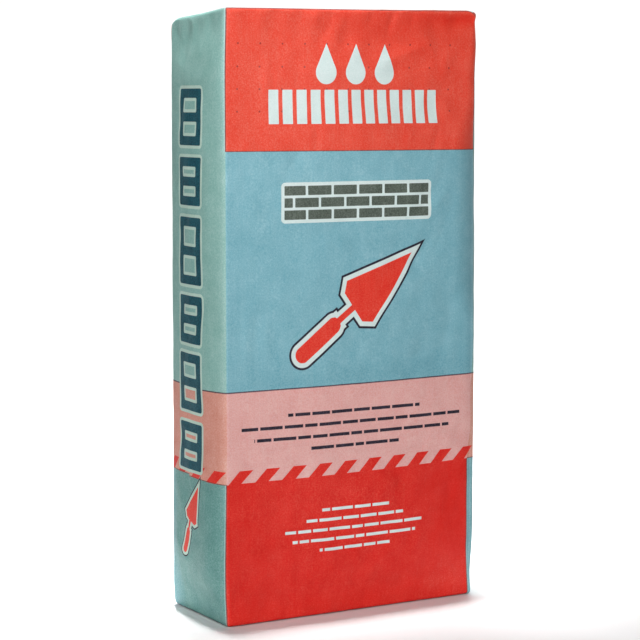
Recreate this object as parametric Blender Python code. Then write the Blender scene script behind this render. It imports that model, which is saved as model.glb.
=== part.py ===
"""A filled paper sack of cement, standing on its end. Units are metres and +Z is up.

The origin is at the middle of the underside, and the printed front faces -Y. The sack is a paper tube whose two
ends are folded into flat rectangular bottoms and covered with a pasted sheet. It is filled through a flat sleeve
that lies between the folded flaps and the cover sheet of the top end.
"""

import math

import bmesh
import bpy
from mathutils import Vector

# The tube lies flat at TUBE_WIDTH. A folded end of END_DEPTH leaves the rest of that width for the front.
# HEIGHT is that of the front left corner. From there the top end rises to the right and falls to the back.
HEIGHT = 0.600
TOP_RISE = 0.004
TOP_FALL = 0.006
TUBE_WIDTH = 0.405
END_DEPTH = 0.118
FRONT_WIDTH = TUBE_WIDTH - END_DEPTH

# The folded ends are crisp, and between them the filling rounds the corners and bellies the walls.
END_CORNER = 0.005
WALL_CORNER = 0.013
END_EDGE = 0.003
FRONT_BELLY = 0.005
SIDE_BELLY = 0.004
SWELL_WIDTH = 0.003
SWELL_DEPTH = 0.002
SWELL_RUN = 0.072
SETTLED = 0.25

# All corners of the top end but the front left one have sunk by SUNK, over SUNK_REACH from the corner.
SUNK = 0.006
SUNK_REACH = 0.020
SUNK_RUN = 0.060

# The top end is flat again this far in from its edge, with the rings between drawn in by RIM_RINGS.
RIM_RINGS = (0.008, 0.013)

# Pasted paper sheets are drawn thick enough to hold as solids, with a gap between pieces that touch.
SHEET = 0.0006
GAP = 0.0003
COVER_MARGIN_X = 0.016
COVER_MARGIN_Y = 0.013
COVER_CORNER = 0.004
SLEEVE_WIDTH = 0.074
SLEEVE_INSIDE = 0.095
SLEEVE_LIP = 0.003
SLEEVE_THICK = 0.0010

# How finely the sack is drawn.
ARC_STEPS = 5
FRONT_STEPS = 14
SIDE_STEPS = 8
WALL_ROWS = 26
EDGE_ROWS = 4

BODY_BOTTOM = SHEET + GAP
BODY_TOP = HEIGHT - SHEET - GAP


def clear_scene():
    for thing in list(bpy.data.objects):
        bpy.data.objects.remove(thing)


def material(name, colour, roughness):
    made = bpy.data.materials.new(name)
    made.use_nodes = True
    shader = made.node_tree.nodes["Principled BSDF"]
    shader.inputs["Base Color"].default_value = (*colour, 1)
    shader.inputs["Roughness"].default_value = roughness
    shader.inputs["Metallic"].default_value = 0
    return made


def smooth_step(value):
    held = min(max(value, 0), 1)
    return held * held * (3 - 2 * held)


def swell(height):
    """0 at the folded ends and 1 between them, and a little fuller low down, where the filling has settled."""
    from_end = min(height, HEIGHT - height)
    full = smooth_step(from_end / SWELL_RUN)
    return full * (1 + SETTLED * (1 - 2 * height / HEIGHT))


def corner_points(centre_x, centre_y, radius, start):
    """The arc round one corner, counter-clockwise from the angle start."""
    for step in range(ARC_STEPS + 1):
        angle = start + math.pi / 2 * step / ARC_STEPS
        yield centre_x + radius * math.cos(angle), centre_y + radius * math.sin(angle)


def rounded_rectangle(half_x, half_y, radius):
    """Points round a rectangle, counter-clockwise from the start of its front right corner."""
    corners = ((1, -1, -0.5), (1, 1, 0), (-1, 1, 0.5), (-1, -1, 1))
    arcs = [
        list(corner_points(sx * (half_x - radius), sy * (half_y - radius), radius, turn * math.pi))
        for sx, sy, turn in corners
    ]
    points = []
    for index, arc in enumerate(arcs):
        points += arc
        here, there = arc[-1], arcs[(index + 1) % 4][0]
        steps = SIDE_STEPS if index % 2 == 0 else FRONT_STEPS
        for step in range(1, steps):
            share = step / steps
            points.append(tuple(a + (b - a) * share for a, b in zip(here, there)))
    return points


def sunk(x, y):
    """How far the top end has sunk at a point, because of its nearest corner."""
    if x < 0 and y < 0:
        return 0
    away = math.hypot(FRONT_WIDTH / 2 - abs(x), END_DEPTH / 2 - abs(y))
    return SUNK * max(0, 1 - away / SUNK_REACH) ** 2


def lifted(x, y):
    """How much higher the top end's slanting plane is at a point than at its front left corner."""
    return TOP_RISE * (x / FRONT_WIDTH + 0.5) - TOP_FALL * (y / END_DEPTH + 0.5)


def section(height, inset=0.0):
    """The sack's outline at a height, drawn in by inset where it turns over the edge of an end."""
    full = swell(height)
    corner = END_CORNER + (WALL_CORNER - END_CORNER) * min(full, 1)
    half_x = FRONT_WIDTH / 2 + SWELL_WIDTH * full
    half_y = END_DEPTH / 2 + SWELL_DEPTH * full
    sinking = smooth_step((height - HEIGHT + SUNK_RUN) / (SUNK_RUN - END_EDGE))
    points = []
    for x, y in rounded_rectangle(half_x - inset, half_y - inset, max(corner - inset, 0.002)):
        across, along = x / half_x, y / half_y
        bellied_x = x + across * SIDE_BELLY * full * max(0, 1 - along * along)
        bellied_y = y + along * FRONT_BELLY * full * max(0, 1 - across * across)
        raised = height + sinking * (lifted(x, y) - sunk(x, y))
        points.append(Vector((bellied_x, bellied_y, raised)))
    return points


def sack_rows():
    """Every outline from the underside to the top: the lower edge's curve, the walls, and the upper edge's curve."""
    edge = []
    for step in range(EDGE_ROWS + 1):
        angle = math.pi / 2 * step / EDGE_ROWS
        edge.append((END_EDGE * (1 - math.sin(angle)), END_EDGE * (1 - math.cos(angle))))
    rows = [section(BODY_BOTTOM + rise, inset) for inset, rise in edge]
    low, high = BODY_BOTTOM + END_EDGE, BODY_TOP - END_EDGE
    rows += [section(low + (high - low) * step / WALL_ROWS) for step in range(1, WALL_ROWS)]
    rows += [section(BODY_TOP - rise, inset) for inset, rise in reversed(edge)]
    rows += [section(BODY_TOP, inset) for inset in RIM_RINGS]
    return rows


def add_object(name, mesh_maker, finish):
    mesh = bpy.data.meshes.new(name)
    shape = bmesh.new()
    mesh_maker(shape)
    bmesh.ops.recalc_face_normals(shape, faces=shape.faces)
    shape.to_mesh(mesh)
    shape.free()
    mesh.materials.append(finish)
    made = bpy.data.objects.new(name, mesh)
    bpy.context.scene.collection.objects.link(made)
    return made


def add_ring(shape, points):
    corners = [shape.verts.new(point) for point in points]
    return [shape.edges.new((a, b)) for a, b in zip(corners, corners[1:] + corners[:1])]


def draw_sack(shape):
    rings = [add_ring(shape, row) for row in sack_rows()]
    for lower, upper in zip(rings, rings[1:]):
        bmesh.ops.bridge_loops(shape, edges=lower + upper)
    bmesh.ops.contextual_create(shape, geom=rings[0])
    bmesh.ops.contextual_create(shape, geom=rings[-1])


def slant(shape):
    """Moves what was drawn level onto the slanting plane of the top end."""
    for corner in shape.verts:
        corner.co.z += lifted(corner.co.x, corner.co.y)


def draw_box(low, high):
    """A function that draws a box between two corners, slanted like the top end."""

    def draw(shape):
        size = [b - a for a, b in zip(low, high)]
        middle = [(a + b) / 2 for a, b in zip(low, high)]
        bmesh.ops.create_cube(shape, size=1)
        bmesh.ops.scale(shape, vec=size, verts=shape.verts)
        bmesh.ops.translate(shape, vec=middle, verts=shape.verts)
        slant(shape)

    return draw


def draw_cover(low, slanted):
    """A function that draws a cover sheet with rounded corners, its underside at the height low."""

    def draw(shape):
        half_x = FRONT_WIDTH / 2 - COVER_MARGIN_X
        half_y = END_DEPTH / 2 - COVER_MARGIN_Y
        outline = rounded_rectangle(half_x, half_y, COVER_CORNER)
        ring = add_ring(shape, [Vector((x, y, low)) for x, y in outline])
        base = bmesh.ops.contextual_create(shape, geom=ring)["faces"]
        raised = bmesh.ops.extrude_face_region(shape, geom=base)["geom"]
        corners = [part for part in raised if isinstance(part, bmesh.types.BMVert)]
        bmesh.ops.translate(shape, vec=(0, 0, SHEET), verts=corners)
        if slanted:
            slant(shape)

    return draw


def sleeve_corners(clearance):
    """Two corners of the sleeve's box, grown by a clearance at its sides, its inner end and its underside."""
    inner = FRONT_WIDTH / 2 - SLEEVE_INSIDE - clearance
    outer = FRONT_WIDTH / 2 + SLEEVE_LIP
    half = SLEEVE_WIDTH / 2 + clearance
    low = (inner, -half, BODY_TOP - SLEEVE_THICK - clearance)
    return low, (outer, half, BODY_TOP)


def sleeve_cutter():
    """The room for the sleeve in the top end, cut clear through its upper face and its right-hand wall."""
    low, high = sleeve_corners(GAP)
    past = 0.02
    cutter = add_object("sleeve_room", draw_box(low, (high[0] + past, high[1], high[2] + past)), kraft)
    cutter.hide_render = True
    cutter.display_type = "WIRE"
    return cutter


def cut(target, cutter):
    modifier = target.modifiers.new("sleeve room", "BOOLEAN")
    modifier.operation = "DIFFERENCE"
    modifier.object = cutter


clear_scene()
printed = material("printed_paper", (0.62, 0.07, 0.05), 0.62)
kraft = material("kraft_paper", (0.45, 0.30, 0.17), 0.75)

sack = add_object("sack_body", draw_sack, printed)
sack.data.shade_smooth()
sack.data.set_sharp_from_angle(angle=math.radians(40))
cut(sack, sleeve_cutter())

add_object("top_patch", draw_cover(HEIGHT - SHEET, True), kraft)
add_object("bottom_patch", draw_cover(0, False), kraft)
add_object("valve_sleeve", draw_box(*sleeve_corners(0)), kraft)
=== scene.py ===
"""The looks of a filled paper sack of cement, standing on its end. Units are metres and +Z is up.

The sack's paper, its two cover sheets and its valve sleeve are drawn here as fine meshes in the places of
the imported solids. A place on the paper is given by two coordinates: around, the way round the tube from the
middle of the front, positive to the right, and up, the height along the paper.
"""

import functools
import itertools
import math

import bpy
import numpy as np
from mathutils import Matrix, Vector


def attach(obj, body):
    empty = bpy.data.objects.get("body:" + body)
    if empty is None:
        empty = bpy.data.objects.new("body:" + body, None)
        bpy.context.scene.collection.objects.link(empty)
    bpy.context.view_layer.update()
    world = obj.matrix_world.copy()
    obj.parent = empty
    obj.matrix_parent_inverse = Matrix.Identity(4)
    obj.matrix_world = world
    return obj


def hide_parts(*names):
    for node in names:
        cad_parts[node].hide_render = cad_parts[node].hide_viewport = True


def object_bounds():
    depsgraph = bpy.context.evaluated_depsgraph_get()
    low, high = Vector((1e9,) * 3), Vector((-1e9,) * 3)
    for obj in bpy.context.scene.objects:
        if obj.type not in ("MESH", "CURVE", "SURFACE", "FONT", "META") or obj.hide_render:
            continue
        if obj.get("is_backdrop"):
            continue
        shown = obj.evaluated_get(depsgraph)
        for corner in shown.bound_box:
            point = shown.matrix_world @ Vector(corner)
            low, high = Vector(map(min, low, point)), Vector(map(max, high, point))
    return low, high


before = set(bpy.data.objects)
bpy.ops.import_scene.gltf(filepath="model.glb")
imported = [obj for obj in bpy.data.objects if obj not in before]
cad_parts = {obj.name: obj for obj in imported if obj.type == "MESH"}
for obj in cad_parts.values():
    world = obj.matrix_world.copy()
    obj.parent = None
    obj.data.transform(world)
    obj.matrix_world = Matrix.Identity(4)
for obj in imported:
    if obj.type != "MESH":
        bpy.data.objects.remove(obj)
solid_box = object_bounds()

# The form, as in the part's source.
HEIGHT = 0.6
TOP_RISE = 0.004
TOP_FALL = 0.006
TUBE_WIDTH = 0.405
END_DEPTH = 0.118
FRONT_WIDTH = TUBE_WIDTH - END_DEPTH
END_CORNER = 0.005
END_EDGE = 0.003
FRONT_BELLY = 0.005
SWELL_DEPTH = 0.002
SWELL_RUN = 0.072
SETTLED = 0.25
SUNK = 0.006
SUNK_REACH = 0.02
SUNK_RUN = 0.06
SHEET = 0.0006
GAP = 0.0003
COVER_MARGIN_X = 0.016
COVER_MARGIN_Y = 0.013
COVER_CORNER = 0.004
SLEEVE_WIDTH = 0.074
SLEEVE_INSIDE = 0.095
SLEEVE_LIP = 0.003
SLEEVE_THICK = 0.001
BODY_BOTTOM = SHEET + GAP
BODY_TOP = HEIGHT - SHEET - GAP
HALF_FRONT = FRONT_WIDTH / 2
HALF_END = END_DEPTH / 2

# Where the paper differs from the solid: fuller side walls, a slumped front right edge that bulges in a
# rounder corner, and a slight peak at the front left corner of the top.
SIDE_BELLY = 0.0072
SWELL_LEFT = 0.0014
SWELL_RIGHT = 0.0004
SWELL_TOP_RIGHT = 0.0026
SLUMP_BULGE = 0.0094
SLUMPED_REACH = (0.036, 0.032)
LEAST_RADIUS = 0.002
PEAK = 0.0012
PEAK_REACH = (0.12, 0.03)
CRISP_SUNK = 0.0078
CRISP_REACH = 0.011

# How finely the paper is drawn. ARC_STEPS, FRONT_STEPS and SIDE_STEPS are even.
ARC_STEPS = 12
FRONT_STEPS = 104
SIDE_STEPS = 44
WALL_ROWS = 216
EDGE_ROWS = 5
COVER_STEPS = (128, 48)
SLEEVE_STEPS = (40, 36)
SHARP_ANGLE = math.radians(50)

# The numbers of a ring's points at the four folds, from the front left one round to it again.
FOLD_POINTS = np.cumsum([0] + 2 * [FRONT_STEPS + ARC_STEPS, SIDE_STEPS + ARC_STEPS])

# Each corner's signs, where its arc starts in half turns, and its reach along the front or back and the side.
CORNERS = (
    (-1, -1, 1.0, 0.0022, 0.005),
    (1, -1, 1.5, 0.015, 0.006),
    (1, 1, 0.0, 0.01, 0.014),
    (-1, 1, 0.5, 0.016, 0.016),
)

# The paper's length round the tube, and the print's places on it. RIM is just under the fold of the top edge.
ROUND = 0.8144
HALF_ROUND = ROUND / 2
FOLD = 0.1446
PRINT_EDGE = FOLD - 0.0012
RED_LINE = 0.4635
PINK_LINE = 0.2317
STRIPE_LINE = 0.142
STRIPE_TALL = 0.0125
STRIPE_PITCH = 0.0292
STRIPE_START = -0.142
TRAP_HALF = 0.00045
RIM = 0.5965

# The folded ends: how far they lie below the plane of the highest flap, how much each layer of flaps lifts
# them, and the place and softness of the flaps' edges.
FLAPS_DOWN = 0.0006
FLAP_LIFT = 0.0003
FLAP_EDGE = 0.012
FLAP_SOFT = 0.0012

# The glued seam's overlap, the height of its step, and the run over which the step rises.
SEAM_OVERLAP = 0.034
SEAM_STEP = 0.0004
SEAM_RUN = 0.0012

# The photograph's camera, as fitted to the sack's outline. Its angles are in degrees.
CAMERA_PLACE = (-1.0568, -1.8331, 0.5115)
CAMERA_DOWN = 5.982
CAMERA_RIGHT = 29.836
CAMERA_ROLL = 0.071
CAMERA_LENS = 117.38
SENSOR = 36.0


def rises(value, start, run):
    """0 up to start, 1 from start + run on, and a smooth rise between them."""
    held = np.clip((value - start) / run, 0, 1)
    return held * held * (3 - 2 * held)


def falls(value, end, run):
    """1 up to end - run, 0 from end on, and a smooth fall between them."""
    return rises(-value, -end, run)


def mound(x, y, reach):
    """1 at the middle of a soft round spot, and less and less over its reach along x and y."""
    return np.exp(-((x / reach[0]) ** 2) - (y / reach[1]) ** 2)


def ring_plan():
    """For each point round the sack, the two arc points that it lies between and how far along it lies.

    An arc point is its corner's signs, its direction from the corner's centre, and the corner's two reaches.
    The ring starts at the middle of the front left corner and runs counter-clockwise seen from above.
    """
    arcs = []
    for sign_x, sign_y, turn, *reach in CORNERS:
        angles = (turn + 0.5 * np.arange(ARC_STEPS + 1) / ARC_STEPS) * np.pi
        arcs.append([(sign_x, sign_y, math.cos(angle), math.sin(angle), *reach) for angle in angles])
    plan = []
    for index, arc in enumerate(arcs):
        steps = (FRONT_STEPS, SIDE_STEPS)[index % 2]
        following = arcs[(index + 1) % 4][0]
        plan += [(*point, *point, 0) for point in arc]
        plan += [(*arc[-1], *following, step / steps) for step in range(1, steps)]
    plan = np.roll(np.array(plan), -(ARC_STEPS // 2), axis=0)
    size = len(arcs[0][0])
    return plan[:, :size], plan[:, size : 2 * size], plan[:, 2 * size :]


def swell(height):
    """0 at the folded ends and 1 between them, and fuller low down, where the filling has settled."""
    from_end = np.minimum(height, HEIGHT - height)
    return rises(from_end, 0, SWELL_RUN) * (1 + SETTLED * (1 - 2 * height / HEIGHT))


def lifted(x, y):
    """How much higher the top end's slanting plane is at a point than at its front left corner."""
    return TOP_RISE * (x / FRONT_WIDTH + 0.5) - TOP_FALL * (y / END_DEPTH + 0.5)


def sunk(x, y):
    """How far the top end has sunk at its corners: crisply at the front right one, and softly at the back."""
    away = np.hypot(HALF_FRONT - np.abs(x), HALF_END - np.abs(y))
    soft = SUNK * np.maximum(0, 1 - away / SUNK_REACH) ** 2
    crisp = CRISP_SUNK * (1 - np.sqrt(1 - np.maximum(0, 1 - away / CRISP_REACH) ** 2))
    return np.where(y > 0, soft, np.where(x < 0, 0, crisp))


def top_shape(x, y):
    """How much higher the top end is at a point than a level end."""
    return lifted(x, y) - sunk(x, y) + PEAK * mound(x + HALF_FRONT, y + HALF_END, PEAK_REACH)


def slumped(height):
    """1 where the filling has slumped along the front's right edge, and 0 above and below."""
    return rises(height, 0.285, 0.05) * falls(height, 0.52, 0.06)


def roll(from_fold, out, start, fade):
    """A roll of slack paper behind a fold: how far out it stands, and over what runs it starts and fades."""
    return out * (1 - np.exp(-from_fold / start)) * np.exp(-((from_fold / fade) ** 2))


def left_roll(across, y, height, full):
    """How far the left side bulges beside its front fold: widely at mid height, and narrowly above and below.

    across is -1 at the left side and 1 at the right side.
    """
    wide_out, wide_reach, fullest, low_extra = 0.0022, 0.08, 1.25, 0.8
    from_fold = np.maximum(0, y + HALF_END)
    low = falls(height, 0.14, 0.05)
    narrow = roll(from_fold, 0.003, 0.008, 0.045) + low * roll(from_fold, 0.0022, 0.011, 0.04)
    wide = wide_out * np.sin(np.pi * np.minimum(from_fold / wide_reach, 1))
    middle = rises(height, 0.12, 0.08) * falls(height, 0.56, 0.06)
    share = np.minimum(full * (1 + low_extra * low), fullest)
    return share * (wide * middle + narrow * (1 - middle)) * np.maximum(0, -across) ** 4


def half_width(left, height, full, forward):
    """Half the sack's width at a height, on the left or on the right of its middle.

    forward is 1 at the front and 0 at the back. The slumped part bulges at the front only.
    """
    bulge = SLUMP_BULGE * slumped(height) * forward
    right_of = SWELL_RIGHT * full + bulge + SWELL_TOP_RIGHT * rises(height, 0.53, 0.05)
    return HALF_FRONT + np.where(left, SWELL_LEFT * full, right_of)


def paper_rows():
    """The height of each row of the walls, how far it is drawn in, and its place up the paper."""
    angles = np.pi / 2 * np.arange(EDGE_ROWS + 1) / EDGE_ROWS
    inset, rise = END_EDGE * (1 - np.sin(angles)), END_EDGE * (1 - np.cos(angles))
    low, high = BODY_BOTTOM + END_EDGE, BODY_TOP - END_EDGE
    walls = np.linspace(low, high, WALL_ROWS + 1)[1:-1]
    along = END_EDGE * (np.pi / 2 - angles)
    heights = np.concatenate([BODY_BOTTOM + rise, walls, BODY_TOP - rise[::-1]])
    insets = np.concatenate([inset, 0 * walls, inset[::-1]])
    up = np.concatenate([low - along, walls, high + along[::-1]])
    return heights, insets, up


def corner_places(point, heights, insets, full):
    """Where each of the plan's arc points lies at each height: [row, place round, xy]."""
    signs, direction, reach = point[:, :2], point[:, 2:4], point[:, 4:]
    at_left, at_front = signs[:, 0] < 0, signs[:, 1] < 0
    radius = END_CORNER + (reach - END_CORNER) * np.minimum(full, 1)[..., None] - insets[..., None]
    radius = np.maximum(radius, LEAST_RADIUS)
    rounder = slumped(heights) * (~at_left & at_front)
    radius = radius + rounder[..., None] * (SLUMPED_REACH - radius)
    half_x = half_width(at_left, heights, full, at_front)
    half_y = HALF_END + full * SWELL_DEPTH + 0 * half_x
    return signs * (np.stack([half_x, half_y], -1) - insets[..., None] - radius) + direction * radius


def way_round(points):
    """How far round the paper each point lies. The folds at the corners keep their places on the paper."""
    steps = np.linalg.norm(np.roll(points, -1, 1) - points, axis=2)
    travelled = np.concatenate([0 * steps[:, :1], np.cumsum(steps, 1)], 1)
    places = (-FOLD, FOLD, HALF_ROUND - FOLD, HALF_ROUND + FOLD, ROUND - FOLD)
    return np.array([np.interp(row[:-1], row[FOLD_POINTS], places) for row in travelled])


def plain_form():
    """The sack before its creases: points [row, place round, xyz], and their coordinates on the paper."""
    here, there, share = ring_plan()
    heights, insets, up = (column[:, None] for column in paper_rows())
    full = swell(heights)
    flat = corner_places(here, heights, insets, full)
    flat = flat + (corner_places(there, heights, insets, full) - flat) * share
    x, y = flat[..., 0], flat[..., 1]
    across = x / half_width(x < 0, heights, full, np.clip(0.5 - y / END_DEPTH, 0, 1))
    along = y / (HALF_END + full * SWELL_DEPTH)
    bellied_x = x + across * SIDE_BELLY * full * np.maximum(0, 1 - np.abs(along) ** 2.6)
    bellied_x = bellied_x - left_roll(across, y, heights, full)
    bellied_y = y + along * FRONT_BELLY * full * np.maximum(0, 1 - across**2) ** 1.6
    sinking = rises(heights, HEIGHT - SUNK_RUN, SUNK_RUN - END_EDGE)
    points = np.stack([bellied_x, bellied_y, heights + sinking * top_shape(x, y)], -1)
    return points, way_round(points), np.repeat(up, points.shape[1], 1)


def outward(points):
    """Unit normals of a grid of points whose rows close on themselves."""
    along = np.roll(points, -1, 1) - np.roll(points, 1, 1)
    normals = np.cross(along, np.gradient(points, axis=0))
    return normals / np.linalg.norm(normals, axis=2, keepdims=True)


def ripples(around, up, seed, shortest, longest, count=60):
    """Smooth random relief of about 1 either way, which meets itself where the tube closes."""
    draw = np.random.default_rng(seed)
    total = np.zeros_like(around)
    for _ in range(count):
        length = shortest * (longest / shortest) ** draw.random()
        heading, phase = draw.uniform(0, 2 * np.pi, 2)
        turns = round(math.cos(heading) * ROUND / length)
        total += np.cos(2 * np.pi * (turns * around / ROUND + math.sin(heading) * up / length) + phase)
    return total / math.sqrt(count / 2)


def wrapped(value, period):
    """The value brought to within half a period of 0."""
    return value - period * np.round(value / period)


def crease(around, up, start, end, depth, width, held=0.0):
    """A straight crease from start to end. It fades out at its end, and at its start too unless held is 1."""
    run = np.array([wrapped(end[0] - start[0], ROUND), end[1] - start[1]])
    length = np.hypot(*run)
    run /= length
    x, y = wrapped(around - start[0], ROUND), up - start[1]
    along, aside = (x * run[0] + y * run[1]) / length, x * run[1] - y * run[0]
    fade = falls(along, 1, 0.6) * rises(along, -0.3 * held, 0.3)
    beside = (along > -0.02) & (along < 1)
    crest = np.hypot(aside / width, 0.3) - 0.3
    return np.where(beside, depth * fade * np.exp(-crest), 0)


def creases(around, up, lines, held=0.0):
    """The relief of straight creases, each given by its start, end, height and width."""
    return sum(crease(around, up, *line, held) for line in lines)


def end_creases(seed):
    """Creases that run from the corners of the folded ends into the walls."""
    draw = np.random.default_rng(seed)
    corners = [side * HALF_ROUND + sign * FOLD for side in (0, 1) for sign in (-1, 1)]
    for (end, inwards), corner, sign in itertools.product(((0, 1), (HEIGHT, -1)), corners, (-1, 1)):
        for _ in range(3):
            angle, length = draw.uniform(0.45, 1.15), draw.uniform(0.03, 0.085)
            reach = (corner + sign * length * math.cos(angle), end + inwards * length * math.sin(angle))
            height = draw.choice((-1, 1)) * draw.uniform(0.0001, 0.0003)
            yield (corner, end), reach, height, draw.uniform(0.0022, 0.0045)


# Creases in the front and the left side: start, end, height and width. A groove's height is below zero.
PLACED_CREASES = (
    ((0.046, 0.602), (0.032, 0.566), -0.00139, 0.003),
    ((0.053, 0.602), (0.041, 0.57), 0.00073, 0.004),
    ((0.022, 0.6), (0.012, 0.58), -0.00092, 0.0028),
    ((-0.024, 0.6), (-0.038, 0.568), -0.00101, 0.0035),
    ((-0.012, 0.598), (-0.024, 0.57), 0.00092, 0.0045),
    ((-0.044, 0.596), (-0.052, 0.574), 0.00066, 0.004),
    ((0.068, 0.601), (0.061, 0.578), -0.00084, 0.0028),
    ((0.02, 0.545), (0.11, 0.574), 0.00111, 0.005),
    ((0.03, 0.537), (0.118, 0.562), -0.00084, 0.0055),
    ((-0.098, 0.565), (-0.099, 0.49), 0.00073, 0.003),
    ((-0.045, 0.492), (-0.047, 0.45), -0.00092, 0.0035),
    ((-0.03, 0.496), (-0.05, 0.452), 0.00066, 0.0045),
    ((0.084, 0.452), (0.104, 0.5), -0.00101, 0.0032),
    ((0.052, 0.462), (0.074, 0.496), 0.00073, 0.0045),
    ((-0.058, 0.47), (-0.092, 0.424), -0.00119, 0.006),
    ((-0.036, 0.468), (-0.06, 0.43), 0.00073, 0.005),
    ((-0.05, 0.386), (0.024, 0.394), -0.00185, 0.0065),
    ((-0.06, 0.372), (0.05, 0.386), 0.00119, 0.008),
    ((0.056, 0.338), (0.096, 0.386), -0.0013, 0.005),
    ((0.068, 0.4), (0.108, 0.446), -0.00111, 0.006),
    ((0.078, 0.394), (0.116, 0.434), 0.00084, 0.005),
    ((0.072, 0.33), (0.106, 0.37), 0.00092, 0.005),
    ((0.052, 0.4), (0.08, 0.44), 0.00073, 0.005),
    ((0.144, 0.316), (0.112, 0.298), 0.00158, 0.004),
    ((0.06, 0.256), (0.122, 0.264), -0.00119, 0.005),
    ((0.04, 0.238), (0.14, 0.243), -0.00158, 0.004),
    ((-0.122, 0.312), (-0.122, 0.236), 0.00073, 0.0034),
    ((-0.111, 0.316), (-0.111, 0.232), -0.00066, 0.0034),
    ((-0.1, 0.312), (-0.1, 0.232), 0.00066, 0.0034),
    ((0.044, 0.14), (0.02, 0.104), 0.00092, 0.004),
    ((0.058, 0.138), (0.04, 0.108), -0.00073, 0.004),
    ((0.128, 0.124), (0.112, 0.092), -0.00092, 0.0045),
    ((-0.118, 0.12), (-0.088, 0.134), 0.00073, 0.005),
    ((-0.104, 0.096), (-0.07, 0.126), -0.00073, 0.0055),
    ((-0.142, 0.066), (-0.06, 0.078), 0.00073, 0.0045),
    ((-0.138, 0.056), (-0.05, 0.066), -0.00084, 0.0045),
    ((-0.147, 0.012), (-0.13, 0.042), -0.00231, 0.0042),
    ((-0.138, 0.034), (-0.1, 0.056), -0.00189, 0.0045),
    ((-0.138, 0.018), (-0.116, 0.038), 0.00126, 0.006),
    ((-0.01, 0.03), (0.018, 0.056), -0.00119, 0.005),
    ((0.002, 0.022), (0.034, 0.05), 0.00073, 0.005),
    ((-0.062, 0.028), (-0.034, 0.06), 0.00073, 0.005),
    ((-0.18, 0.1), (-0.215, 0.062), -0.00092, 0.004),
    ((-0.244, 0.08), (-0.19, 0.036), 0.00101, 0.0035),
    ((-0.17, 0.33), (-0.184, 0.29), -0.00101, 0.006),
    ((-0.176, 0.47), (-0.19, 0.44), -0.00119, 0.007),
)


def loose_creases(seed, count):
    """Short handling creases scattered over the walls."""
    draw = np.random.default_rng(seed)
    for _ in range(count):
        start = (draw.uniform(-HALF_ROUND, HALF_ROUND), draw.uniform(0.03, HEIGHT - 0.03))
        angle, length = draw.normal(0.9, 0.5), draw.uniform(0.025, 0.09)
        end = (start[0] + length * math.cos(angle), start[1] + length * math.sin(angle))
        height = draw.choice((-1, 1)) * draw.uniform(0.0001, 0.00034)
        yield start, end, height, draw.uniform(0.0022, 0.005)


def end_diagonals():
    """The lines that run from the corners of each folded end to the middle of each side."""
    for side, (end, inwards), sign in itertools.product((-1, 1), ((0, 1), (HEIGHT, -1)), (-1, 1)):
        centre = side * HALF_ROUND / 2
        yield (centre + sign * HALF_END, end), (centre, end + inwards * HALF_END), -0.00025, 0.0022


def flat_tube_creases(around, up):
    """What the tube keeps from lying flat: lines down the sides, across the back and along the ends."""
    middle = wrapped(around - HALF_ROUND / 2, HALF_ROUND)
    below = rises(np.minimum(up, HEIGHT - up), HALF_END - 0.03, 0.05)
    on_back = rises(np.abs(wrapped(around, ROUND)), HALF_ROUND - FOLD, 0.01)
    total = 0.0003 * np.exp(-np.abs(middle) / 0.0035) * below + creases(around, up, end_diagonals(), 1.0)
    for line in (HALF_END, HEIGHT - HALF_END):
        total -= 0.0005 * np.exp(-(((up - line) / 0.0022) ** 2)) * on_back
    return total


def glued_seam(around):
    """The step where one edge of the paper is glued over the other, down the back."""
    from_seam = HALF_ROUND - around
    return SEAM_STEP * rises(from_seam, 0, SEAM_RUN) * falls(from_seam, SEAM_OVERLAP, SEAM_RUN)


def dents(around, up):
    """Places where the filling has left the paper slack: centre, reach both ways, and depth."""
    total = np.zeros_like(around)
    for centre, reach, depth in (
        ((-0.262, 0.028), (0.03, 0.034), 0.0024),
        ((0.06, HEIGHT - 0.026), (0.012, 0.016), -0.0003),
        ((0.112, HEIGHT - 0.055), (0.014, 0.018), 0.0005),
        ((0.15, 0.036), (0.007, 0.009), -0.0002),
        ((0.03, 0.06), (0.08, 0.022), -0.0004),
        ((-0.1, 0.03), (0.018, 0.016), -0.0004),
        ((0.06, 0.47), (0.018, 0.024), -0.0004),
        ((-0.06, 0.33), (0.014, 0.04), 0.0003),
    ):
        total += depth * mound(wrapped(around - centre[0], ROUND), up - centre[1], reach)
    return total


def buckles(around, up, seed):
    """Shallow upright buckles below and above the folded ends, where a crisp fold meets a full wall."""
    from_end = np.minimum(up, HEIGHT - up)
    near = rises(from_end, 0, 0.008) * np.exp(-from_end / 0.035)
    return near * ripples(around, 0.25 * up, seed, shortest=0.018, longest=0.05)


def leaning_ripples(around, up, seed):
    """Long soft ripples, upright at the left of each face and leaning to the right at its right."""
    lean = 0.55 * rises(wrapped(around, HALF_ROUND), -0.08, 0.16)
    across = around - lean * (up - HEIGHT / 2)
    return ripples(across, 0.22 * up, seed, shortest=0.012, longest=0.035, count=80)


def slack_corner(around, up):
    """The flat facet beside the front's lower right fold, which turns back from a soft upright crease."""
    facet = np.clip((around - 0.109) / 0.034, 0, 1) * falls(around, FOLD + 0.014, 0.016)
    return facet * falls(up, 0.19, 0.05) * rises(up, 0.004, 0.02)


def tucked(around, up):
    """1 where the front is drawn in under its top edge beside the right corner, and 0 elsewhere."""
    near_corner = rises(around, 0.06, 0.07) * falls(around, FOLD + 0.01, 0.018)
    return near_corner * falls(up, RIM, 0.0075) * rises(up, 0.56, 0.03)


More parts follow.
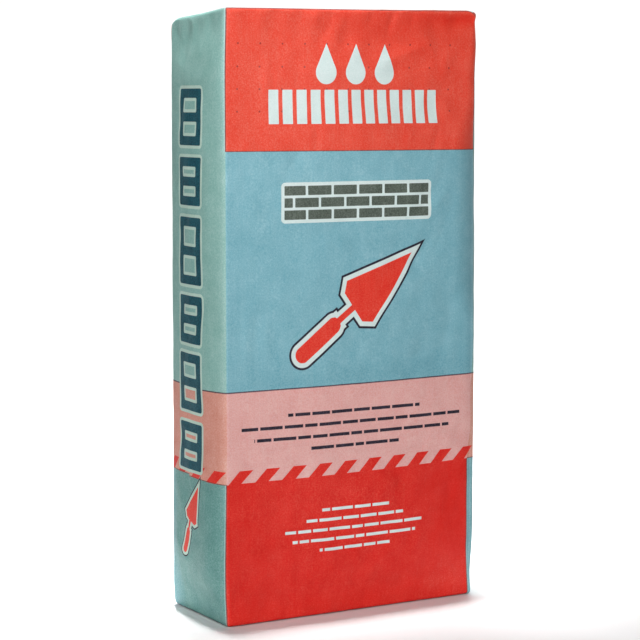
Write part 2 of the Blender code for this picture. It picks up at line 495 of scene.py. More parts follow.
def relief(around, up):
    """How far the paper stands out from the plain form. The paper is tighter along the folds."""
    from_end = np.minimum(up, HEIGHT - up)
    fold_side = np.abs(wrapped(around - FOLD, HALF_ROUND))
    fold_front = np.abs(wrapped(around + FOLD, HALF_ROUND))
    loose = 0.15 + 0.85 * rises(np.minimum(fold_side, fold_front), 0, 0.03)
    place = wrapped(around, HALF_ROUND)
    on_front = falls(np.abs(place), FOLD, 0.02)
    amount = 0.7 + (0.3 + 0.7 * on_front) * falls(up, 0.2, 0.1) + 0.4 * rises(place, 0.02, 0.1)

    # The softer forms come first, then the creases.
    total = 0.00055 * ripples(around, up, seed=11, shortest=0.09, longest=0.24)
    total += 0.00016 * amount * ripples(around, up, seed=12, shortest=0.022, longest=0.07)
    total -= 0.00022 * amount * (np.abs(ripples(around, up, seed=14, shortest=0.028, longest=0.08)) - 0.8)
    total += 0.00003 * amount * leaning_ripples(around, up, seed=13)
    total += amount * creases(around, up, loose_creases(seed=6, count=110))
    total += creases(around, up, PLACED_CREASES)
    total = total * loose + flat_tube_creases(around, up) + 0.00025 * buckles(around, up, seed=7)
    total += creases(around, up, end_creases(seed=5), 1.0) + dents(around, up)
    total -= 0.0016 * slack_corner(around, up) + 0.003 * tucked(around, up)
    return total * rises(from_end, 0, 0.006) + glued_seam(around) * rises(from_end, 0, 0.002)


def end_relief(x, y):
    """The folded flaps of an end: the long ones lie over the short ones, and one long one over the other."""
    from_long, from_short = HALF_END - np.abs(y), HALF_FRONT - np.abs(x)
    long_flaps = rises(from_short - from_long, 0, FLAP_SOFT)
    upper_flap = rises(y, -FLAP_EDGE, FLAP_SOFT)
    return FLAP_LIFT * long_flaps * (1 + upper_flap) - FLAPS_DOWN


def end_sides(edge):
    """A ring's values along the front, right, back and left, from the left or front, with both corners."""
    ring = np.concatenate([edge, edge[:1]])
    front, right, back, left = (ring[start : end + 1] for start, end in zip(FOLD_POINTS, FOLD_POINTS[1:]))
    return front, right, back[::-1], left[::-1]


def end_grid(edge, top):
    """A grid of points that fills an end from its edge ring. Columns run to the right, rows to the back."""
    front, right, back, left = end_sides(edge)
    columns, rows = len(front) - 1, len(right) - 1
    u = np.linspace(0, 1, columns + 1)[None, :, None]
    v = np.linspace(0, 1, rows + 1)[:, None, None]
    sides = (1 - v) * front + v * back + (1 - u) * left[:, None] + u * right[:, None]
    corners = (1 - u) * ((1 - v) * front[0] + v * back[0]) + u * ((1 - v) * front[-1] + v * back[-1])
    grid = sides - corners
    x, y = grid[..., 0], grid[..., 1]
    flat = rises(np.minimum(u, 1 - u) * columns, 0, 3) * rises(np.minimum(v, 1 - v) * rows, 0, 3)
    flaps = flat[..., 0] * end_relief(x, y)
    if top:
        level = BODY_TOP + top_shape(x, y) + flaps
        room = (np.abs(y) < SLEEVE_WIDTH / 2 + GAP) & (x > HALF_FRONT - SLEEVE_INSIDE - GAP)
        grid[..., 2] = np.where(room, level - SLEEVE_THICK, level)
    else:
        grid[..., 2] = BODY_BOTTOM - flaps
    return grid


def sleeve_room(points):
    """Lowers the top end's edge where the valve sleeve comes out over it."""
    x, y, z = points[..., 0], points[..., 1], points[..., 2]
    ceiling = BODY_TOP + lifted(x, y) - SLEEVE_THICK - GAP
    room = (np.abs(y) < SLEEVE_WIDTH / 2 + GAP) & (x > 0)
    points[..., 2] = np.where(room, np.minimum(z, ceiling), z)


def add_object(name, data):
    made = bpy.data.objects.new(name, data)
    bpy.context.scene.collection.objects.link(made)
    return made


def add_mesh(name, points, faces, corners=None, finish_of=None):
    """An object from points and faces, with the paper's UV values at each corner and each face's material."""
    mesh = bpy.data.meshes.new(name)
    mesh.from_pydata([tuple(point) for point in points], [], faces)
    if corners is not None:
        layer = mesh.uv_layers.new(name="Paper")
        layer.data.foreach_set("uv", np.asarray(corners, np.float32).ravel())
        mesh.polygons.foreach_set("material_index", np.asarray(finish_of, np.int32))
    mesh.update()
    mesh.shade_smooth()
    return add_object(name, mesh)


def quads(grid):
    """The four corners of each face of a grid, given the numbers or the values of its points."""
    return np.stack([grid[:-1, :-1], grid[:-1, 1:], grid[1:, 1:], grid[1:, :-1]], -1).reshape(-1, 4)


def closed(grid, step=0):
    """A grid with its first column, raised by step, repeated after its last, so that its rows close."""
    return np.concatenate([grid, grid[:, :1] + step], 1)


def paper_map(around, up):
    """The walls' UV values at each corner of each face. They go back by a whole round at the glued seam."""
    rows, ring = around.shape
    corners = np.stack([quads(closed(around, ROUND)), quads(closed(up))], -1).reshape(rows - 1, ring, 4, 2)
    seam = (FOLD_POINTS[2] + FOLD_POINTS[3]) // 2
    corners[:, seam:, :, 0] -= ROUND
    return corners.reshape(-1, 2)


def end_numbers(edge, first, shape):
    """The numbers of an end's points: its edge's, which the walls share, and new ones inside it."""
    numbers = np.empty(shape, int)
    numbers[0], numbers[:, -1], numbers[-1], numbers[:, 0] = end_sides(edge)
    inner = numbers[1:-1, 1:-1]
    inner[:] = first + np.arange(inner.size).reshape(inner.shape)
    return numbers


def draw_sack():
    """The printed paper: its walls, and at each end the folded flaps."""
    points, around, up = plain_form()
    points = points + outward(points) * relief(around, up)[..., None]
    sleeve_room(points)
    index = np.arange(around.size).reshape(around.shape)
    all_points, faces, maps = [points.reshape(-1, 3)], [quads(closed(index))], [paper_map(around, up)]
    finish = [np.zeros(len(faces[0]))]
    total = index.size
    for row, top, material in ((-1, True, 1), (0, False, 2)):
        grid = end_grid(points[row], top)
        cap = quads(end_numbers(index[row], total, grid.shape[:2]))
        inner = grid[1:-1, 1:-1].reshape(-1, 3)
        total += len(inner)
        all_points.append(inner)
        faces.append(cap if top else cap[:, ::-1])
        maps.append(np.zeros((cap.size, 2)))
        finish.append(np.full(len(cap), material))
    joined = [np.concatenate(part) for part in (all_points, faces, maps, finish)]
    return add_mesh("paper_sack", joined[0], joined[1].tolist(), joined[2], joined[3])


def add_sheet(name, x, y, lower, upper):
    """A thin closed sheet, from a grid of places and the heights of its lower and upper face."""
    numbers = np.arange(2 * x.size).reshape(2, *x.shape)
    points = np.stack([np.stack([x, x]), np.stack([y, y]), np.stack([lower, upper])], -1).reshape(-1, 3)
    right_and_back = numbers[:, 1:, -1], numbers[:, -1, -2::-1]
    rim = closed(np.concatenate([numbers[:, 0], *right_and_back, numbers[:, -2:0:-1, 0]], 1))
    faces = np.concatenate([quads(numbers[0])[:, ::-1], quads(numbers[1]), quads(rim)])
    made = add_mesh(name, points, faces.tolist())
    made.data.set_sharp_from_angle(angle=SHARP_ANGLE)
    return made


def draw_cover(name, top):
    """A pasted cover sheet, which shows the flaps under it. Its edges wave and its corners are rounded."""
    pull, corner_x, corner_y, wave, shown = 0.0008, 0.03, 0.08, 0.0001, 0.4
    u, v = np.meshgrid(*(np.linspace(-1, 1, steps + 1) for steps in COVER_STEPS))
    x = u * (HALF_FRONT - COVER_MARGIN_X + pull * np.cos(9 * v + 1) * np.abs(u) ** 8)
    y = v * (HALF_END - COVER_MARGIN_Y + pull * np.cos(14 * u + 2) * np.abs(v) ** 8)
    rounding = COVER_CORNER * np.maximum(0, np.abs(u) - 1 + corner_x) / corner_x
    rounding = rounding * np.maximum(0, np.abs(v) - 1 + corner_y) / corner_y
    x, y = x - np.sign(u) * rounding, y - np.sign(v) * rounding
    if not top:
        return add_sheet(name, x, y, 0 * x, 0 * x + SHEET)
    waves = wave * ripples(x, y, seed=21, shortest=0.012, longest=0.05)
    upper = HEIGHT + lifted(x, y) + (end_relief(x, y) + FLAPS_DOWN) * shown + waves
    return add_sheet(name, x, y, upper - SHEET, upper)


def draw_sleeve(name):
    """The flattened filling sleeve: two plies, thinner towards their sides, that droop a little at the lip.
    """
    droop, droop_run, thin, slack = 0.0006, 0.008, 0.35, 0.9
    outer = HALF_FRONT + SLEEVE_LIP
    columns, rows = SLEEVE_STEPS
    x, y = np.meshgrid(np.linspace(HALF_FRONT - SLEEVE_INSIDE, outer, columns + 1),
                       np.linspace(-SLEEVE_WIDTH / 2, SLEEVE_WIDTH / 2, rows + 1))
    edge = 1 - (2 * y / SLEEVE_WIDTH) ** 8
    middle = BODY_TOP + lifted(x, y) - SLEEVE_THICK / 2 - droop * rises(x, outer - droop_run, droop_run)
    half = SLEEVE_THICK / 2 * (thin + (1 - thin) * edge) * slack
    return add_sheet(name, x, y, middle - half, middle + half)


def fill(tree, node, inputs):
    """Gives a node's inputs, by name or number, their values: a node's output, or a number or colour."""
    for name, value in inputs.items():
        source, slot = value.source if isinstance(value, Number) else value, node.inputs[name]
        if isinstance(source, bpy.types.NodeSocket):
            tree.links.new(source, slot)
        else:
            slot.default_value = (*source, 1) if slot.type == "RGBA" else source


def add_node(tree, kind, inputs, **settings):
    node = tree.nodes.new("ShaderNode" + kind)
    for name, value in settings.items():
        setattr(node, name, value)
    fill(tree, node, inputs)
    return node


def math_node(operation):
    """A method of Number that adds a Math node with this operation."""
    return lambda self, *others: self.maths(operation, *others)


class Number:
    """A number in a node tree. Its operators add Math nodes, so that a pattern is written as its formula."""

    def __init__(self, tree, source):
        self.tree = tree
        self.source = source

    def maths(self, operation, *others):
        node = add_node(self.tree, "Math", dict(enumerate((self, *others))), operation=operation)
        return Number(self.tree, node.outputs[0])

    __add__ = __radd__ = math_node("ADD")
    __sub__ = math_node("SUBTRACT")
    __mul__ = __rmul__ = math_node("MULTIPLY")
    __truediv__ = math_node("DIVIDE")
    __pow__ = math_node("POWER")
    __abs__ = math_node("ABSOLUTE")
    least = math_node("MINIMUM")
    most = math_node("MAXIMUM")
    rounded = math_node("ROUND")
    fraction = math_node("FRACT")
    root = math_node("SQRT")
    exponent = math_node("EXPONENT")

    def __neg__(self):
        return self * -1

    def __rsub__(self, other):
        return self.maths("MULTIPLY_ADD", -1, other)

    def held(self):
        """The number kept between 0 and 1."""
        return self.most(0).least(1)

    def wrapped(self, period):
        """The number brought to within half a period of 0."""
        return self - (self / period).rounded() * period


def inside(distance, softness=0.00025):
    """1 inside a shape and 0 outside it, from the signed distance to its edge."""
    return (0.5 - distance / softness).held()


def box(x, y, half_x, half_y, radius=0.0):
    """Signed distance to a rectangle, with mitred or rounded corners."""
    dx, dy = abs(x) - (half_x - radius), abs(y) - (half_y - radius)
    if not radius:
        return dx.most(dy)
    outer = (dx.most(0) ** 2 + dy.most(0) ** 2).root()
    return outer + dx.most(dy).least(0) - radius


def polygon(x, y, points):
    """Signed distance to a convex outline whose points run counter-clockwise."""
    sides = []
    for (ax, ay), (bx, by) in zip(points, points[1:] + points[:1]):
        length = math.hypot(bx - ax, by - ay)
        nx, ny = (by - ay) / length, (ax - bx) / length
        sides.append(x * nx + y * ny - (ax * nx + ay * ny))
    return functools.reduce(Number.most, sides)


def capsule(x, y, start, end, radius):
    """Signed distance to a bar with round ends, along the local x axis from start to end."""
    middle, half = (start + end) / 2, (end - start) / 2
    dx = (abs(x - middle) - half).most(0)
    return (dx**2 + y**2).root() - radius


def turned(x, y, centre, angle, scale):
    """The point's coordinates in a frame that is moved, turned and scaled."""
    dx, dy = x - centre[0], y - centre[1]
    cos, sin = math.cos(angle) / scale, math.sin(angle) / scale
    return dx * cos + dy * sin, dy * cos - dx * sin


def painted(tree, under, mask, colour):
    """under where the mask is 0 and colour where it is 1."""
    mix = add_node(tree, "Mix", {"Factor": mask, "A": under, "B": colour}, data_type="RGBA")
    return mix.outputs["Result"]


def noise(tree, vector, scale, detail=2.0, roughness=0.5):
    inputs = {"Vector": vector, "Scale": scale, "Detail": detail, "Roughness": roughness}
    return Number(tree, add_node(tree, "TexNoise", inputs).outputs["Fac"])


def stretched(tree, vector, factors):
    return add_node(tree, "VectorMath", {0: vector, 1: factors}, operation="MULTIPLY").outputs["Vector"]


def linear(red, green, blue):
    """A colour given as it shows on a screen, from 0 to 255, as the light that it sends."""
    shares = [value / 255 for value in (red, green, blue)]
    return tuple(share / 12.92 if share < 0.04045 else ((share + 0.055) / 1.055) ** 2.4 for share in shares)


# The inks on white sack paper. The lower red and the lower teal are darker than their print, with painted
# shade low on the sack.
PAPER = linear(203, 218, 216)
RED_TOP = linear(221, 78, 61)
# The lower field's red, darkened with painted shade.
LOW_RED_AND_SHADE = linear(208, 41, 32)
BLUE = linear(121, 170, 182)
PINK = linear(215, 163, 158)
SALMON = linear(203, 141, 126)
TEAL = linear(131, 172, 165)
# The lower sides' teal, darkened with painted shade.
LOW_TEAL_AND_SHADE = linear(100, 145, 140)
DEEP_TEAL = linear(23, 75, 87)
PALE_TEAL = linear(178, 202, 190)
GREY = linear(84, 93, 85)
DARK = linear(42, 38, 50)
# The dark where two inks overlap; it also paints shade along the front's top fold.
TRAP_AND_SHADE = linear(112, 50, 46)
COOL_TRAP = linear(66, 52, 66)
MARK_RED = linear(216, 60, 46)

# The depth of the finest creases and fibres.
BUMP_DISTANCE = 0.0006

# Kraft paper, its pale fibres and its dark specks.
KRAFT = linear(176, 136, 94)
KRAFT_PALE = linear(204, 168, 124)
KRAFT_DARK = linear(112, 82, 54)


def stripes(around, up, line):
    """Slanting bars in the band above a line, running up to the right."""
    overlap = 0.0003
    height = up - line
    along = around - STRIPE_START - height
    bar = abs(along.wrapped(STRIPE_PITCH) - STRIPE_PITCH / 4) - STRIPE_PITCH / 4
    band = abs(height - STRIPE_TALL / 2 + overlap) - STRIPE_TALL / 2 - overlap
    return bar.most(band)


def pinholes(x, up):
    """Rows of small vent holes near the top of the front and back: the distance to their edges."""
    radius, pitch_x, pitch_y = 0.0009, 0.0243, 0.0214
    dx, dy = (x + 0.1305).wrapped(pitch_x), (up - 0.5018).wrapped(pitch_y)
    hole = (dx**2 + dy**2).root() - radius
    return hole.most(box(x + 0.009, up - 0.5339, 0.13, 0.04))


def soldier_course(x, up):
    """A course of bricks set on end, under the drops."""
    pitch, count, middle = 0.0152, 13, 0.5062
    cell = (x / pitch).rounded()
    brick = box(x - cell * pitch, up - middle, 0.0054, 0.0165, radius=0.0006)
    return brick.most(abs(x) - count * pitch / 2)


def drop(x, y, centre):
    """A falling drop, its round part at the bottom."""
    radius, shoulder, shoulder_up, tip = 0.0115, 0.0106, 0.0045, 0.027
    dx, dy = x - centre[0], y - centre[1]
    point = polygon(dx, dy, [(shoulder, shoulder_up), (0.0, tip), (-shoulder, shoulder_up)])
    return ((dx**2 + dy**2).root() - radius).least(point)


def small_wall(x, up):
    """Three courses of bricks in running bond, as joints cut from a slab: distances to both."""
    middle, tall, long, joint, corner = 0.4135, 0.0118, 0.0285, 0.0013, 0.0008
    row = ((up - middle) / tall).rounded()
    shift = (row / 2).fraction() * long
    dx, dy = (x + abs(shift)).wrapped(long), up - middle - row * tall
    brick = box(dx, dy, long / 2 - joint, tall / 2 - joint, corner)
    slab = box(x, up - middle, 0.0815, 1.5 * tall - joint, corner)
    return brick.most(slab), slab


def trowel(x, y):
    """A pointing trowel with its point towards +x: the distance to its outline."""
    blade = polygon(x, y, [(0.0, -0.02), (0.01, -0.029), (0.092, 0.0), (0.01, 0.029), (0.0, 0.02)])
    neck = capsule(x, y, start=-0.026, end=0.004, radius=0.0036)
    handle = capsule(x, y, start=-0.078, end=-0.03, radius=0.0088)
    ferrule = box(x + 0.027, y, 0.004, 0.0064)
    return blade.least(neck).least(handle).least(ferrule)


def hollow_block(x, y, half_x, half_y, wall):
    """A building block seen from above, with two square holes."""
    outer = box(x, y, half_x, half_y, radius=0.0022)
    hole_half_y = (half_y - 1.5 * wall) / 2
    hole = box(x, abs(y) - (hole_half_y + wall / 2), half_x - wall, hole_half_y, radius=0.0016)
    return outer.most(-hole)


def bar_lines(tree, x, up, lines, thick):
    """Rows of short bars of uneven length, centred: each row is its height and its half length.

    The bars' ends come from a random pattern, which jumps on from row to row.
    """
    long, half_gap, jump = 0.021, 0.0011, 17.3
    rows = functools.reduce(Number.least, [box(x, up - height, half, thick / 2) for height, half in lines])
    (first, _), (second, _) = lines[:2]
    row = ((up - first) / (first - second)).rounded()
    bars = add_node(tree, "TexVoronoi", {"W": x / long + row * jump, "Scale": 1},
                    voronoi_dimensions="1D", feature="DISTANCE_TO_EDGE")
    return rows.most(half_gap - Number(tree, bars.outputs["Distance"]) * long)


def print_lines(x):
    """The heights of the top edges of the blue, pink and lowest fields, which lean a little."""
    right_of_fold, left_of_fold = (x + FOLD).most(0), (-FOLD - x).most(0)
    red_line = RED_LINE - 0.0045 * (x + 0.045)
    pink_line = PINK_LINE + 0.004 * right_of_fold
    stripe_line = STRIPE_LINE + 0.009 * right_of_fold + 0.02 * left_of_fold
    return red_line, pink_line, stripe_line


def front_edge(x, up):
    """The signed distance to the front's print, which stops short of its folds low down."""
    short_of_right = ((0.172 - up) / 0.022).held() * 0.004
    short_of_left = ((0.172 - up) / 0.14).held() * 0.0024
    past_middle = inside(abs(up - 0.345) - 0.105, 0.04) * 0.005
    past_above = inside(0.31 - up, 0.05) * 0.0045
    right = x + (short_of_right - past_middle - past_above) - PRINT_EDGE
    return right.most(-x - short_of_left - PRINT_EDGE)


def layered(tree, colour, layers):
    """A colour with layers painted over it, each with its mask and its ink."""
    for mask, ink in layers:
        colour = painted(tree, colour, mask, ink)
    return colour


def outlined(shape, softness, *rings):
    """A shape's layers, from the widest in: how far each reaches past the shape, and its ink."""
    return [(inside(shape - grown, softness), ink) for grown, ink in rings]


def field_layers(tree, x, up, front):
    """The plain fields, from the sides inwards."""
    red_line, pink_line, stripe_line = print_lines(x)
    fade = 0.03
    beside = ((fade - (x - FOLD)) / fade).held() * inside(-x)
    top, middle, low = inside(red_line - up), inside(up - pink_line), inside(up - stripe_line)
    # The low field's red and teal carry painted shade.
    field = layered(tree, BLUE, [(top, RED_TOP), (middle, PINK), (low, LOW_RED_AND_SHADE)])
    return [(middle, SALMON), (low, LOW_TEAL_AND_SHADE), (low * beside * 0.8, BLUE), (inside(front), field)]


def seam_layers(x, up, around, front):
    """The stripes, the dark lines where two inks overlap, bare paper beside the folds, painted shade along
    the front's top fold, and the pinholes.
    """
    red_line, pink_line, stripe_line = print_lines(x)
    low = up - stripe_line
    beyond = (red_line - up).least(low)
    bare = (abs(front - 0.0011) - 0.0004).most(beyond)
    across_front = (abs(up - red_line) - TRAP_HALF).most(front)
    upright = (abs(front) - TRAP_HALF - 0.0002).most(beyond)
    at_low = (abs(low) - TRAP_HALF).most(-front)
    return [
        (inside(stripes(around, up, stripe_line)), LOW_RED_AND_SHADE),
        (inside(bare) * 0.4, PAPER),
        (inside(across_front.least(upright).least(at_low)) * 0.85, TRAP_AND_SHADE),
        (inside(abs(up - pink_line) - TRAP_HALF - 0.0002) * 0.9, COOL_TRAP),
        # Painted shade: a dark band along the front's top fold.
        (inside((0.5978 - up).most(front), 0.001) * 0.85, TRAP_AND_SHADE),
        (inside(pinholes(x, up), 0.0005) * 0.55, DARK),
    ]


def front_layers(tree, x, up):
    """The front and back: drops, a course of bricks, a small wall, a trowel and lines of plain bars."""
    drops = functools.reduce(Number.least, [drop(x, up, (place, 0.5395)) for place in (-0.034, 0.0, 0.034)])
    bricks, slab = small_wall(x, up)
    tool = trowel(*turned(x, up, (-0.004, 0.3085), math.radians(38), scale=0.92))
    pink_lines = ((0.206, 0.077), (0.1945, 0.128), (0.183, 0.114), (0.1715, 0.052))
    red_lines = ((0.1085, 0.039), (0.0985, 0.0565), (0.0885, 0.08), (0.0785, 0.072), (0.0685, 0.042))
    return [
        (inside(drops.least(soldier_course(x, up))), PAPER),
        (inside(slab - 0.0034), PAPER),
        (inside(bricks), GREY),
        *outlined(tool, 0.0004, (0.0075, DARK), (0.005, PAPER), (0.0, MARK_RED)),
        (inside(bar_lines(tree, x, up, pink_lines, thick=0.0032)), DARK),
        (inside(bar_lines(tree, x, up, red_lines, thick=0.003)), PAPER),
    ]


def side_layers(t, up):
    """The sides: a column of building blocks, each with its height and half length, and a small trowel."""
    layers = []
    for centre, half in ((0.4965, 0.0275), (0.434, 0.0235), (0.366, 0.033), (0.2985, 0.0235),
                         (0.2365, 0.0285), (0.173, 0.023)):
        shape = hollow_block(t, up - centre, half_x=0.0235, half_y=half, wall=0.009)
        layers += [(inside(shape - 0.003), PALE_TEAL), (inside(shape), DEEP_TEAL)]
    tool = trowel(*turned(t, up, (0.001, 0.0985), math.radians(66), scale=0.43))
    return layers + outlined(tool, 0.0005, (0.0098, DARK), (0.0066, PALE_TEAL), (0.0, MARK_RED))


def printed_colour(tree, around, up):
    """The printed colour at a place on the paper."""
    x = around.wrapped(HALF_ROUND)
    from_side = (around - HALF_ROUND / 2).wrapped(HALF_ROUND)
    front = front_edge(x, up)
    colour = layered(tree, TEAL, field_layers(tree, x, up, front))
    colour = layered(tree, colour, seam_layers(x, up, around, front))
    return layered(tree, colour, front_layers(tree, x, up) + side_layers(from_side, up))


# Spots on the front where the ink lies thicker, or thinner below zero: partly uneven ink, and partly painted
# shade and painted light, such as the paler spot at the lower right for light bounced off the floor. Each is
# centre, reach both ways, and share.
INK_SHADE_AND_LIGHT_SPOTS = (
    ((-0.09, 0.54), (0.06, 0.08), -0.05),
    ((-0.06, 0.44), (0.09, 0.022), -0.06),
    ((0.125, 0.33), (0.028, 0.11), 0.03),
    ((0.09, 0.243), (0.12, 0.014), 0.11),
    ((-0.08, 0.236), (0.08, 0.008), 0.05),
    ((-0.05, 0.12), (0.085, 0.04), -0.1),
    ((0.125, 0.1), (0.025, 0.06), 0.06),
    ((0.12, 0.025), (0.035, 0.018), -0.14),
)
# Painted shade under the front's top edge, deepest beside the right corner where the front is drawn in:
# centre, reach both ways, and share.
SHADE_AT_TOP = (
    ((0.06, 0.59), (0.08, 0.03), 0.12),
    ((0.126, 0.59), (0.032, 0.0055), 0.3),
)


def thickness_of(x, up, places):
    """The sum of soft spots: centre, reach both ways, and share."""
    spots = []
    for centre, reach, share in places:
        dx, dy = (x - centre[0]) / reach[0], (up - centre[1]) / reach[1]
        spots.append((-(dx**2 + dy**2)).exponent() * share)
    return functools.reduce(Number.__add__, spots)


def ink_shade_and_light(around, up):
    """How much thicker than usual the ink lies on the front, with painted shade and painted light in it.
    Beside the folds, off the front, it is made thinner as a painted highlight.
    """
    highlight_share, highlight_reach = 0.13, 0.007
    x = around.wrapped(HALF_ROUND)
    on_front = inside(abs(x) - PRINT_EDGE)
    below_rim = ((RIM - up) / 0.002).held()
    total = (thickness_of(x, up, INK_SHADE_AND_LIGHT_SPOTS) + thickness_of(x, up, SHADE_AT_TOP) * below_rim) * on_front
    # Painted highlight: the colour on the sides beside each fold is made paler.
    fold_highlight = (-(((abs(x) - FOLD) / highlight_reach) ** 2)).exponent() * (1 - on_front)
    return total - fold_highlight * highlight_share


def shaded(tree, colour, factor):
    """A colour made darker or lighter by a factor near 1."""
    return add_node(tree, "VectorMath", {0: colour, "Scale": factor}, operation="SCALE").outputs["Vector"]


def new_material(name):
    """A material, its node tree and its shader node."""
    made = bpy.data.materials.new(name)
    made.use_nodes = True
    tree = made.node_tree
    return made, tree, tree.nodes["Principled BSDF"]


def split(tree, vector):
    """The first two numbers of a vector."""
    parts = add_node(tree, "SeparateXYZ", {0: vector})
    return Number(tree, parts.outputs["X"]), Number(tree, parts.outputs["Y"])


def object_place(tree):
    return add_node(tree, "TexCoord", {}).outputs["Object"]


def paper_grain(tree, vector):
    """Fine mottle, fibre, upright streaks from the printing, and broad blotches, each around 0.5."""
    mottle = noise(tree, vector, 700, 2.0, 0.7)
    fibre = noise(tree, vector, 1500, 2.0, 0.6)
    streaks = noise(tree, stretched(tree, vector, (1.0, 1.0, 0.05)), 480)
    blotches = noise(tree, vector, 60, 3.0)
    return mottle, fibre, streaks, blotches


def add_bump(tree, shader, height, strength):
    bump = add_node(tree, "Bump", {"Strength": strength, "Distance": BUMP_DISTANCE, "Height": height})
    fill(tree, shader, {"Normal": bump.outputs["Normal"]})


def crumple(tree, vector):
    """Fine crinkles of stiff paper: soft dimples, and sharper ridges where they meet."""
    cockle = noise(tree, vector, 75)
    ridged = abs(noise(tree, vector, 34, 3.0, 0.55) - 0.5)
    return cockle * 0.5 - ridged * 1.2


def finish_printed(tree, shader, colour, place, thickness_and_shade=0.0, pale=0.0):
    """Adds the paper's grain to a printed colour. Thicker ink darkens a colour's weak channels the most; the
    thickness given here carries painted shade and painted light too, and pale adds painted light.
    """
    mottle, fibre, streaks, blotches = paper_grain(tree, place)
    unevenness = (mottle - 0.5) * 0.95 + (streaks - 0.5) * 0.22 + (blotches - 0.5) * 0.3
    density = add_node(tree, "Gamma", {"Color": colour, "Gamma": 1 + unevenness + thickness_and_shade})
    # pale brightens the colour with painted light.
    factor = 1 + (fibre - 0.5) * 0.32 + (mottle - 0.5) * 0.2 + (streaks - 0.5) * 0.1 + pale
    roughness = 0.55 + (fibre - 0.5) * 0.25 + (blotches - 0.5) * 0.2
    colour = shaded(tree, density.outputs["Color"], factor)
    fill(tree, shader, {"Base Color": colour, "Roughness": roughness, "Specular IOR Level": 0.18})
    add_bump(tree, shader, crumple(tree, place) + mottle * 0.14 + streaks * 0.1, strength=0.5)


def printed_walls():
    """The print on the walls, made paler just above the floor with painted light that stands for the floor's
    bounce.
    """
    bounce_top, bounce_share = 0.03, 0.2
    made, tree, shader = new_material("printed_walls")
    around, up = split(tree, add_node(tree, "UVMap", {}, uv_map="Paper").outputs["UV"])
    # Painted light: the print is made paler just above the floor, for the light that the floor bounces onto
    # the walls.
    floor_bounce = (1 - up / bounce_top).held() * bounce_share
    colour = printed_colour(tree, around, up)
    finish_printed(tree, shader, colour, object_place(tree), ink_shade_and_light(around, up), floor_bounce)
    return made


def printed_end(name, red):
    """The folded flaps of an end: long ones in the red of the front, and short ones in the sides' teal."""
    edge_half = 0.0004
    made, tree, shader = new_material(name)
    place = object_place(tree)
    x, y = split(tree, place)
    diagonal = (HALF_FRONT - abs(x)) - (HALF_END - abs(y))
    cut_edge = (abs(y + (FLAP_EDGE - 0.0002)) - edge_half).most(-diagonal)
    slant_edge = abs(diagonal) - edge_half
    colour = layered(tree, red, [(inside(diagonal), TEAL), (inside(cut_edge.least(slant_edge)), PAPER)])
    finish_printed(tree, shader, colour, place)
    return made


def kraft(name, shade=1.0):
    """Unprinted brown paper with long fibres and dark specks."""
    made, tree, shader = new_material(name)
    place = object_place(tree)
    mottle, fibre, _, blotches = paper_grain(tree, place)
    long_fibre = noise(tree, stretched(tree, place, (0.12, 1.0, 1.0)), 700, 3.0, 0.65)
    specks = (noise(tree, place, 520, 1.0) - 0.7).held() * 3
    brown = tuple(value * shade for value in KRAFT)
    fibres = (long_fibre - 0.4).held() * 1.2
    colour = layered(tree, brown, [(fibres, KRAFT_PALE), (specks.held(), KRAFT_DARK)])
    factor = 1 + (blotches - 0.5) * 0.25 + (mottle - 0.5) * 0.2
    roughness = 0.72 + (fibre - 0.5) * 0.2
    fill(tree, shader, {"Base Color": shaded(tree, colour, factor), "Roughness": roughness})
    add_bump(tree, shader, long_fibre * 0.25 + noise(tree, place, 70) * 0.8, strength=0.6)
    return made


def add_floor():
    """A round pale floor that curves up far away, so that no horizon shows behind the sack."""
    flat, rim, turns, steps = 3.0, 2.5, 96, 24
    rising = np.pi / 2 * np.arange(steps + 1) / steps
    radii = np.concatenate([[flat / 5, flat / 2], flat + rim * np.sin(rising)])[:, None]
    heights = np.concatenate([[0, 0], rim * (1 - np.cos(rising))])[:, None]
    angles = 2 * np.pi * np.arange(turns) / turns
    rings = np.stack([radii * np.cos(angles), radii * np.sin(angles), heights + 0 * angles], -1)
    numbers = 1 + np.arange(radii.size * turns).reshape(-1, turns)
    faces = [(0, here, following) for here, following in zip(numbers[0], np.roll(numbers[0], -1))]
    faces += quads(closed(numbers))[:, ::-1].tolist()
    floor = add_mesh("floor", [(0, 0, 0), *rings.reshape(-1, 3)], faces)
    made, tree, shader = new_material("pale_floor")
    fill(tree, shader, {"Base Color": (0.8, 0.8, 0.8), "Roughness": 0.9, "Specular IOR Level": 0.2})
    floor.data.materials.append(made)
    floor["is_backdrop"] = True


def add_area(name, place, target, size, power, spread=180):
    """A rectangular lamp that faces a target. A small spread is the beam of a lamp with a grid."""
    light = bpy.data.lights.new(name, "AREA")
    light.shape = "RECTANGLE"
    light.size, light.size_y = size
    light.energy = power
    light.spread = math.radians(spread)
    made = add_object(name, light)
    made.location = place
    made.rotation_euler = (Vector(target) - Vector(place)).to_track_quat("-Z", "Y").to_euler()


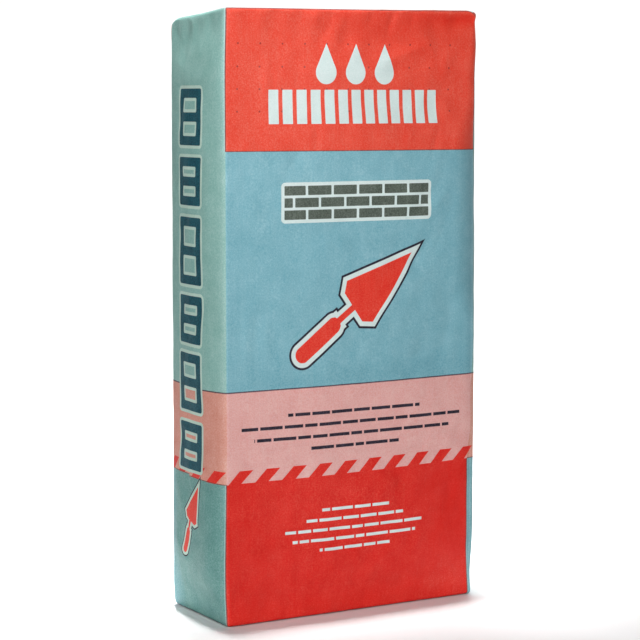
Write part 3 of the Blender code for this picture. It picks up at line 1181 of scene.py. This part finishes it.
def add_lights():
    """The key low on the left, a side lamp, three above the floor, and lamps for the back and the room."""
    add_area("key", (-0.68, -1.34, 0.8), (0, 0, 0.6), (0.7, 0.7), 6.25, 100)
    add_area("side_light", (-1.27, -0.59, 1.2), (0, 0, 0.5), (0.6, 0.6), 1.0, 60)
    for name, x in (("overhead_left", -0.1), ("overhead_right", 0.1)):
        add_area(name, (x, 0.26, 3.5), (x, 0.26, 0), (0.09, 0.46), 1.8, 14)
    add_area("floor_light", (0.6, 0.9, 2.4), (0.6, 0.9, 0), (1.0, 1.0), 22, 72)
    add_area("back_light", (0.85, 1.45, 1.00), (0, 0, 0.4), (0.8, 0.8), 7)
    add_area("backdrop_light", (1.2, 2.1, 2.6), (2.6, 4.5, 0.2), (2.0, 1.2), 118)
    add_area("room_light", (-1.1, -2.6, 2.9), (-2.2, -5.2, 0.4), (2.0, 1.2), 30)
    world = bpy.data.worlds.new("studio")
    world.use_nodes = True
    fill(world.node_tree, world.node_tree.nodes["Background"], {"Color": (1, 1, 1), "Strength": 0.01})
    bpy.context.scene.world = world


def add_camera():
    """The camera of the photograph."""
    data = bpy.data.cameras.new("camera")
    data.lens = CAMERA_LENS
    data.sensor_width = SENSOR
    made = add_object("camera", data)
    turn = Matrix.Rotation(math.radians(-CAMERA_RIGHT), 4, "Z")
    tip = Matrix.Rotation(math.radians(90 - CAMERA_DOWN), 4, "X")
    roll = Matrix.Rotation(math.radians(-CAMERA_ROLL), 4, "Z")
    made.matrix_world = Matrix.Translation(CAMERA_PLACE) @ turn @ tip @ roll
    bpy.context.scene.camera = made


def place_piece(piece, node, slot, *materials):
    for material in materials:
        piece.data.materials.append(material)
    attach(piece, "root")
    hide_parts(node)


add_camera()
sack = draw_sack()
place_piece(sack, "sack_body", "printed_paper", printed_walls(),
            printed_end("printed_top", RED_TOP), printed_end("printed_bottom", LOW_RED_AND_SHADE))
place_piece(draw_cover("top_cover_sheet", True), "top_patch", "kraft_paper", kraft("kraft_top"))
place_piece(draw_cover("bottom_cover_sheet", False), "bottom_patch", "kraft_paper", kraft("kraft_bottom"))
place_piece(draw_sleeve("filling_sleeve"), "valve_sleeve", "kraft_paper", kraft("kraft_sleeve", 0.9))
add_floor()
add_lights()
bpy.context.scene.view_settings.view_transform = "Standard"

boxes = [[list(corner) for corner in box_of] for box_of in (solid_box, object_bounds())]
